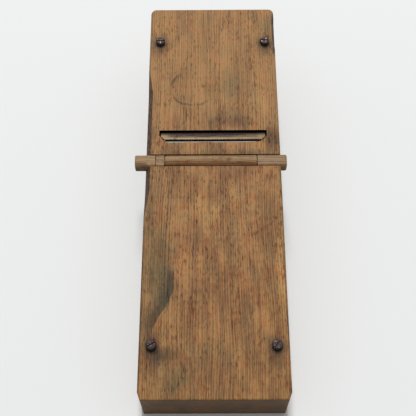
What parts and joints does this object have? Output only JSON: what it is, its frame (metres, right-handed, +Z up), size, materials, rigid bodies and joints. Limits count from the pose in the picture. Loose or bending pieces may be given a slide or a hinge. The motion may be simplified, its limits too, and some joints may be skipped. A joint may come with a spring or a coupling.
{
  "type": "hand plane",
  "caption": "Wooden pull plane lying sole up: oak block, tapered blade, chip breaker and cross pin, a roller bar let into the sole ahead of the mouth, and round-head screws in the corners.",
  "frame": {"origin": "centre of the bounding box on the bench the plane lies on, sole up, touching with its front lower edge and the head of its blade", "axes": "+X across the sole, to the right seen from the front end; +Y from the front end to the heel; +Z up, out of the bench. The sole leans 5.95 degrees from level, heel end up."},
  "size_m": [0.0948, 0.2718, 0.0606],
  "materials": {
    "block_oak": "aged oak, worn and stained, satin",
    "bar_oak": "paler oak, hand-worn, satin",
    "blade_steel": "laminated steel with a straw and brown patina",
    "breaker_steel": "forged, dark patina",
    "pin_steel": "drawn steel, dull",
    "screw_steel": "oxidised brown, burnished on the high spots"
  },
  "bodies": {
    "body": {"block": "block_oak", "pressure_pin": "pin_steel", "bar_left_end": "bar_oak", "bar_spacer": "bar_oak", "bar_right_end": "bar_oak", "screw_front_left": "screw_steel", "screw_front_right": "screw_steel", "screw_heel_left": "screw_steel", "screw_heel_right": "screw_steel"},
    "blade": {"blade": "blade_steel"},
    "chip_breaker": {"chip_breaker": "breaker_steel"},
    "roller": {"roller": "bar_oak"}
  },
  "joints": [
    {"name": "blade_slide", "type": "slide", "parent": "body", "child": "blade", "axis": [0, 0.8476, -0.5307], "range_m": [0, 0.055]},
    {"name": "breaker_slide", "type": "slide", "parent": "blade", "child": "chip_breaker", "axis": [0, 0.8246, -0.5657], "range_m": [0, 0.045]},
    {"name": "roller_spin", "type": "hinge", "parent": "body", "child": "roller", "pos_m": [0.00145, 0.01274, 0.04603], "axis": [1, 0, 0], "continuous": true}
  ]
}
